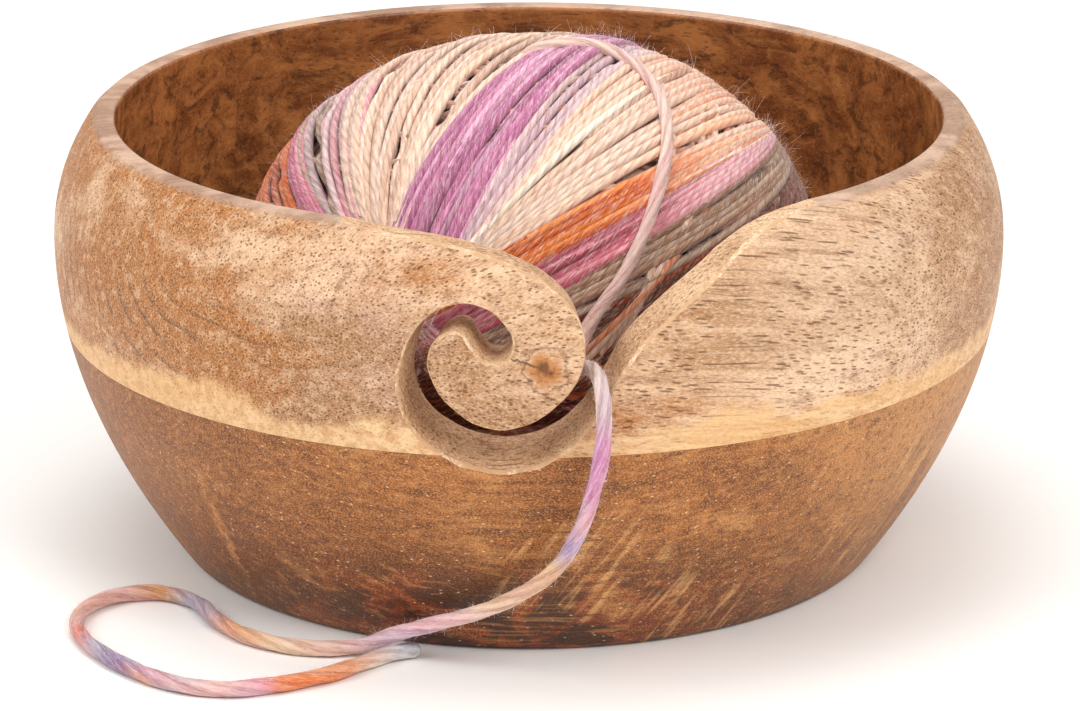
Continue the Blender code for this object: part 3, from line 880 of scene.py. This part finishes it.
def make_strand(paint):
    """The loose strand: four plies twisted together, with stray fibres."""
    route = (*BURIED_ROUTE, *LEAD_ROUTE[1:], *WORKING_ROUTE)
    points, reached, knots = smooth_path(route, STRAND_STEP)
    _, one, two = carried_frames(points)
    count = len(points)
    mark = np.interp(reached, knots, np.arange(len(route)) - len(BURIED_ROUTE) + 1)
    marks, *parts = np.array(STRAND_DYES).T
    dyes = [
        np.stack([np.interp(mark, marks, part) for part in srgb(*pair)], 1)
        for pair in (parts[:3], parts[3:])
    ]

    angles = np.arange(STRAND_SIDES) * TURN / STRAND_SIDES
    turned_by = TURN * reached / STRAND_PITCH
    plain = angles[None, :] - turned_by[:, None]
    # section: STRAND_PLIES circles set round the middle
    near = (plain + math.pi / STRAND_PLIES) % (TURN / STRAND_PLIES) - math.pi / STRAND_PLIES
    thickness = STRAND_DIAMETER / 2.0
    set_out, ply = 0.3 * thickness, 0.7 * thickness
    radius = set_out * np.cos(near) + np.sqrt(ply**2 - (set_out * np.sin(near)) ** 2)
    slow = np.convolve(random.normal(size=count + 40), np.hanning(41) / 4.0, "valid")[:count]
    radius *= 1.0 + 0.05 * np.clip(slow, -1.0, 1.0)[:, None]
    radius += 0.02 * random.normal(size=radius.shape)
    close = np.minimum(1.0, (reached[-1] - reached) / STRAND_END_ROUND)
    radius *= (0.35 + 0.65 * np.sqrt(close))[:, None]
    radius *= np.interp(mark, *STRAND_TAUT)[:, None]
    offset = ring_of(one, two, angles)
    places = points[:, None] + radius[..., None] * offset
    places[..., 2] = np.maximum(places[..., 2], STRAND_LOWEST)
    share = 0.5 + 0.62 * np.cos(plain + 0.6) + 0.25 * np.cos(2.0 * plain)
    share = share[..., None].clip(0.0, 1.0)
    tint = dyes[0][:, None] * (1.0 - share) + dyes[1][:, None] * share
    straight = np.stack([
        np.broadcast_to(reached[:, None], plain.shape),
        radius * np.cos(plain), radius * np.sin(plain),
    ], -1)
    tubes = Tubes()
    tubes.add(places, tint, straight, False)
    for _ in range(STRAND_HAIRS):
        i, k = random.integers(8, count - 2), random.integers(STRAND_SIDES)
        away = offset[i, k]
        along = (points[i + 1] - points[i]) * random.choice((-1.0, 1.0))
        heading = unit(away * random.uniform(0.25, 1.0) + unit(along) * random.uniform(0.3, 1.2))
        start = places[i, k] - away * HAIR_ROOT
        length = random.uniform(*STRAND_HAIR_LENGTHS)
        if start[2] + min(0.0, heading[2]) * length > HAIR_CLEARANCE:
            fibre = 0.5 * tint[i, k] + 0.5 * STRAND_HAIR_TINT
            hair(tubes, start, heading, length, fibre, STRAND_HAIR_RADIUS)
    strand = tubes.make("loose_strand", paint)
    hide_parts("yarn_lead", "working_yarn")
    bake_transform(strand)
    print("strand length", round(reached[-1], 1), "mm")


# The ball: closed wraps of yarn laid one after another on an egg-shaped core.
BALL_CENTRE = np.array((-0.1, -6.0, 54.7))
BALL_HALF_SIZE = np.array((52.0, 47.0, 40.9))
BALL_LEAN = -0.06
CORE_DEPTH = 3.3
CORE_SHOWN_DEPTH = 1.7
WRAP_RADIUS = 0.88
WRAP_PITCH = 13.0
WRAP_POINTS = 230
WRAP_SIDES = 7
MAP_POINTS = 42000
# wraps above FULL_HEIGHT pack down, towards MOST_RISE above it
FULL_HEIGHT = -1.0
MOST_RISE = 5.0
RISE_SCALE = 6.0
WRAP_WANDER = 0.012
WRAP_JITTER = 0.006

CREAM = ((242, 210, 186), (232, 196, 168), (250, 222, 200), (226, 188, 162))
ORANGE = ((226, 122, 50), (210, 102, 38), (236, 140, 70), (200, 94, 38))
MAGENTA = ((214, 124, 150), (196, 102, 130), (230, 150, 168), (206, 114, 146))
PINK = ((238, 172, 180), (228, 158, 166), (242, 188, 192))
PURPLE = ((208, 138, 170), (184, 110, 148), (224, 164, 192), (174, 100, 138))
LILAC = ((216, 184, 190), (220, 190, 190), (204, 170, 178))
# grey-beige yarn, darkened and warmed in part as painted shade low on the ball
SHADED_GREY = ((170, 132, 104), (150, 114, 90), (186, 154, 128), (158, 116, 92))
PLUM = ((196, 98, 116), (206, 112, 128), (218, 134, 144), (184, 82, 100))
# painted shade: dark, warm brown dyes for low bands, where the ball turns under
SHADED_BROWN = ((126, 78, 52), (138, 74, 38), (112, 66, 44), (142, 64, 30))
PEACH = ((250, 202, 170), (244, 176, 134), (252, 212, 184), (238, 156, 110))
# painted shade: dark rust dyes for the lowest bands, where the ball turns under
SHADED_RUST = ((108, 42, 16), (98, 38, 20), (118, 54, 32))
# dyes of the buried wraps, muted and darkened as painted shade so that the gaps between the outer
# wraps look shadowed
BURIED = ((190, 156, 136), (170, 132, 112), (196, 142, 120), (168, 116, 92))
# Each band of wraps: how many, then two places that its first wrap passes
# through and two that its last does, each as degrees round from the front and
# degrees up, then its dyes, and the dyes that they run into on the right.
BANDS = (
    (14, (-97, 8, -51, 2), (-97, 36, -47, 20), ORANGE, ORANGE),
    (10, (-97, 38, -45, 20), (-100, 44, -38, 21), MAGENTA, MAGENTA),
    (9, (-99, 42, -38, 21), (-72, 50, -34, 21), (SHADED_GREY[2], PINK[0], LILAC[1]), SHADED_GREY),
    (5, (-66, 50, -34, 21), (-68, 55, -32, 21), (PINK[0], CREAM[0]), PINK),
    (22, (-84, 55, -33, 21), (-2, 77, -27, 22), CREAM, CREAM),
    (11, (65, -4, 11, -22), (65, 4, 11, -16), SHADED_RUST, SHADED_RUST),
    (12, (66, 5, 11, -14), (68, 22, 11, 4), SHADED_BROWN, SHADED_BROWN),
    (4, (90, 54, 46, 34), (84, 44, 49, 30), PEACH, PEACH),
    (1, (100, 63, 41, 37), (100, 63, 41, 37), (CREAM[1],), (PEACH[2],)),
    (11, (80, 31, 5, 13), (76, 21, 10, 6), SHADED_GREY, SHADED_GREY),
    (12, (60, 36, 1, 19), (80, 30, 6, 12), PLUM, PINK),
    (12, (46, 39, -7, 22), (60, 34, 0, 17), ORANGE, PEACH),
    (22, (44, 64, -12, 22), (40, 40, -7, 21), CREAM, PEACH),
    (5, (20, 66, -14, 22), (40, 64, -12, 21), LILAC, CREAM),
    (20, (2, 77, -29, 23), (22, 66, -14, 22), PURPLE, PURPLE),
)
# painted shade down the sides of each wrap: how much darker red, green and blue get
SIDE_SHADE = np.array((0.50, 0.62, 0.66))
UNDER_WRAPS = 90
UNDER_SIDES = 6
UNDER_POINTS = 130
# the bands that begin a new piece, so that no piece has too many faces
FIRST_BANDS = (0, 5, 11)
BALL_HAIRS = 6200
BALL_HAIR_LENGTHS = (0.6, 1.2, 2.8)
BALL_HAIR_RADIUS = 0.025
BALL_HAIR_ROOT = 0.1
BALL_HAIR_TINT = srgb(255, 246, 240)
UNDERSIDE = -0.1


def towards(around, up):
    """A direction, from degrees round from the front and degrees up."""
    around, up = math.radians(around), math.radians(up)
    return np.array((
        math.sin(around) * math.cos(up), -math.cos(around) * math.cos(up), math.sin(up)
    ))


class Ball:
    """Lays wraps on the ball, each resting on what is already there."""

    def __init__(self):
        steps = np.arange(MAP_POINTS) + 0.5
        up = 1.0 - 2.0 * steps / MAP_POINTS
        around = steps * math.pi * (3.0 - math.sqrt(5.0))
        flat = np.sqrt(1.0 - up**2)
        spots = np.stack([flat * np.cos(around), flat * np.sin(around), up], 1)
        self.tree = KDTree(MAP_POINTS)
        for number, spot in enumerate(spots * BALL_HALF_SIZE):
            self.tree.insert(spot, number)
        self.tree.balance()
        self.height = np.full(MAP_POINTS, -CORE_DEPTH)
        cos, sin = math.cos(BALL_LEAN), math.sin(BALL_LEAN)
        self.lean = np.array(((cos, 0.0, sin), (0.0, 1.0, 0.0), (-sin, 0.0, cos)))

    def place(self, spots, heights):
        """World places of directions from the centre, at heights above the egg."""
        raised = spots * (BALL_HALF_SIZE + heights[:, None])
        return raised @ self.lean.T + BALL_CENTRE

    def outward(self, spots):
        """The ball's outward directions there, near enough."""
        return unit((spots / BALL_HALF_SIZE) @ self.lean.T)

    def lay(self, normal, count):
        """Directions and heights of one wrap, in the plane square to normal."""
        first = unit(np.cross(normal, (0.05, 0.1, 1.0)))
        first = first if first[1] > 0.0 else -first
        second = np.cross(normal, first)
        turns = np.arange(count) * TURN / count
        wander = WRAP_WANDER * np.sin(turns * 2 + random.uniform(0, TURN))
        ring = np.cos(turns)[:, None] * first + np.sin(turns)[:, None] * second
        spots = unit(ring + normal * wander[:, None])
        rests, found = np.empty(count), []
        for i, spot in enumerate(spots * BALL_HALF_SIZE):
            _, numbers, away = zip(*self.tree.find_range(spot, WRAP_RADIUS))
            numbers = np.array(numbers)
            rise = np.sqrt(np.maximum(0.0, WRAP_RADIUS**2 - np.array(away) ** 2))
            found.append((numbers, rise))
            rests[i] = (self.height[numbers] + 0.62 * rise).max()
        over = np.maximum.reduce([np.roll(rests, shift) for shift in (-1, 0, 1)])
        window = np.hanning(9)[1:-1]
        window /= window.sum()
        rests = sum(w * np.roll(over, shift) for w, shift in zip(window, range(-3, 4)))
        packed = FULL_HEIGHT + MOST_RISE * (1.0 - np.exp((FULL_HEIGHT - rests) / RISE_SCALE))
        rests = np.where(rests > FULL_HEIGHT, packed, rests)
        for rest, (numbers, rise) in zip(rests, found):
            np.maximum.at(self.height, numbers, rest + 0.8 * rise)
        return spots, rests


def add_wrap(ball, tubes, normal, dye, right_dye, sides=WRAP_SIDES, count=WRAP_POINTS):
    """Lays one wrap. Its dye runs into right_dye towards the ball's right end."""
    spots, heights = ball.lay(normal, count)
    middles = ball.place(spots, heights)
    out = ball.outward(spots)
    along = unit(np.roll(middles, -1, axis=0) - np.roll(middles, 1, axis=0))
    side = unit(np.cross(along, out))
    out = np.cross(side, along)
    lengths = np.linalg.norm(np.diff(middles, axis=0, append=middles[:1]), axis=1)
    reached = np.concatenate([[0.0], np.cumsum(lengths)[:-1]])
    pitch = lengths.sum() / round(lengths.sum() / WRAP_PITCH)
    angles = np.arange(sides) * TURN / sides
    plain = angles[None, :] - (TURN * reached / pitch)[:, None]
    radius = WRAP_RADIUS * (1.0 + 0.05 * np.sin(reached / 9.0 + random.uniform(0, TURN)))
    places = middles[:, None] + radius[:, None, None] * ring_of(side, out, angles)
    straight = np.stack([
        np.broadcast_to((reached + random.uniform(0, 500.0))[:, None], plain.shape),
        WRAP_RADIUS * np.cos(plain), WRAP_RADIUS * np.sin(plain),
    ], -1)
    shade = 1.0 + 0.10 * random.normal()
    turns = np.arange(count) * TURN / count
    drift = 0.06 * np.sin(turns + random.uniform(0, TURN))
    drift += 0.04 * np.sin(3 * turns + random.uniform(0, TURN))
    right = np.clip((spots[:, :1] * BALL_HALF_SIZE[0] - 20.0) / 14.0, 0.0, 1.0)
    tint = srgb(*dye) * (1.0 - right) + srgb(*right_dye) * right
    tint = np.clip(tint * (shade + drift)[:, None], 0.0, 1.0)
    # painted shade: each wrap is darker down its sides, where it meets the next
    low = np.clip((0.75 - np.sin(angles)) / 1.1, 0.0, 1.0)[None, :, None]
    sided = tint[:, None] * (1.0 - low * SIDE_SHADE)
    tubes.add(places, sided, straight, True)
    return places, tint, out


def make_ball(paint):
    ball = Ball()
    under, tubes = Tubes(), []
    for i in range(UNDER_WRAPS):
        up = (i + 0.5) / UNDER_WRAPS
        around = math.degrees(i * math.pi * (3.0 - math.sqrt(5.0)))
        normal = towards(around, math.degrees(math.asin(up)))
        dye = BURIED[random.integers(len(BURIED))]
        add_wrap(ball, under, normal, dye, dye, UNDER_SIDES, UNDER_POINTS)
    laid = []
    for number, (count, start, end, dyes, right_dyes) in enumerate(BANDS):
        if number in FIRST_BANDS:
            tubes.append(Tubes())
        one, two = (
            unit(np.cross(towards(*spots[:2]), towards(*spots[2:]))) for spots in (start, end)
        )
        spread = max(0.001, math.acos(min(1.0, one @ two)))
        for i in range(count):
            share = i / max(1, count - 1)
            normal = one * math.sin((1.0 - share) * spread) + two * math.sin(share * spread)
            normal = unit(unit(normal) + WRAP_JITTER * random.normal(size=3))
            dye, right_dye = dyes[i % len(dyes)], right_dyes[i % len(right_dyes)]
            laid.append(add_wrap(ball, tubes[-1], normal, dye, right_dye))
    fuzz = Tubes()
    for _ in range(2 * BALL_HAIRS):
        places, tint, out = laid[random.integers(len(laid))]
        i, k = random.integers(WRAP_POINTS), random.integers(0, WRAP_SIDES // 2 + 1)
        if out[i, 2] < UNDERSIDE:
            continue
        along = unit(places[(i + 1) % WRAP_POINTS, k] - places[i, k])
        along = along * random.choice((-1.0, 1.0))
        heading = out[i] * random.uniform(0.2, 1.0) + along * random.uniform(0.2, 1.1)
        heading = unit(heading + 0.3 * random.normal(size=3))
        start = places[i, k] - out[i] * BALL_HAIR_ROOT
        length = random.triangular(*BALL_HAIR_LENGTHS)
        fibre = 0.4 * tint[i] + 0.6 * BALL_HAIR_TINT
        hair(fuzz, start, heading, length, fibre, BALL_HAIR_RADIUS)
    pieces = [under.make("under_wraps", paint)]
    pieces += [each.make(f"outer_wraps_{i + 1}", paint) for i, each in enumerate(tubes)]
    pieces += [fuzz.make("ball_fuzz", paint), make_core(ball)]
    for piece in pieces:
        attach(piece, "yarn_ball")
    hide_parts("yarn_ball")


def make_core(ball):
    """The winding under the wraps, seen only in the gaps between them."""
    core = bmesh.new()
    bmesh.ops.create_icosphere(core, subdivisions=5, radius=1.0)
    for vertex in core.verts:
        spot = np.array(vertex.co)[None]
        vertex.co = Vector(ball.place(spot, np.array([-CORE_SHOWN_DEPTH]))[0] * MM)
    mesh = bpy.data.meshes.new("wound_core")
    core.to_mesh(mesh)
    core.free()
    mesh.shade_smooth()
    mesh.materials.append(core_paint())
    return link(bpy.data.objects.new("wound_core", mesh))


def core_paint():
    paint = Paint("inner_yarn", 0.95, 0.1)
    slant = paint.stretch(paint.place(), (0.15, 0.15, 1.2), (20.0, 30.0, 0.0))
    lines = paint.noise(slant, 1.0, 3.0, 0.6)
    paint.begin((190, 146, 122), (236, 202, 178), lines, 0.35, 0.65)
    return paint.finish(lines, 0.5, 1.0)


# ---- Floor and light ----

FLOOR_HALF = 4.0
WORLD_STRENGTH = 0.70
# Each light's place, the height above the floor it aims at and its size, in
# metres, and its power in watts.
LIGHTS = (
    ("key", (0.55, -0.75, 0.85), 0.04, 0.55, 6.0),
    ("top", (-0.1, 0.15, 1.2), 0.05, 0.8, 5.0),
    ("fill", (-0.75, -0.4, 0.75), 0.05, 0.6, 3.4),
)


def make_floor():
    mesh = bpy.data.meshes.new("floor")
    signs = ((-1, -1), (1, -1), (1, 1), (-1, 1))
    corners = [(x * FLOOR_HALF, y * FLOOR_HALF, 0.0) for x, y in signs]
    mesh.from_pydata(corners, [], [(0, 1, 2, 3)])
    floor = link(bpy.data.objects.new("floor", mesh))
    paint = Paint("floor", 0.6, 0.2)
    cloud = paint.noise(paint.place(), 0.02, 2.0)
    pale = paint.mix(cloud, srgb(250, 248, 245), srgb(252, 251, 249))
    paint.feed(paint.shader.inputs["Base Color"], pale)
    mesh.materials.append(paint.material)


def make_light():
    world = bpy.data.worlds.new("studio")
    world.use_nodes = True
    background = world.node_tree.nodes["Background"]
    background.inputs["Color"].default_value = (1.0, 1.0, 1.0, 1.0)
    background.inputs["Strength"].default_value = WORLD_STRENGTH
    scene.world = world
    for name, place, aimed_height, size, power in LIGHTS:
        data = bpy.data.lights.new(name, "AREA")
        data.shape = "DISK"
        data.size = size
        data.energy = power
        light = link(bpy.data.objects.new(name, data))
        light.location = place
        aim = Vector((0.0, 0.0, aimed_height)) - Vector(place)
        light.rotation_euler = aim.to_track_quat("-Z", "Y").to_euler()
    scene.view_settings.view_transform = "Standard"


make_camera()
make_strand(yarn_paint("loose_yarn", STRAND_PLIES, 0.3, 0.24))
make_ball(yarn_paint("wound_yarn", WRAP_PLIES, 0.3, 0.14))
make_bowl()
make_floor()
make_light()
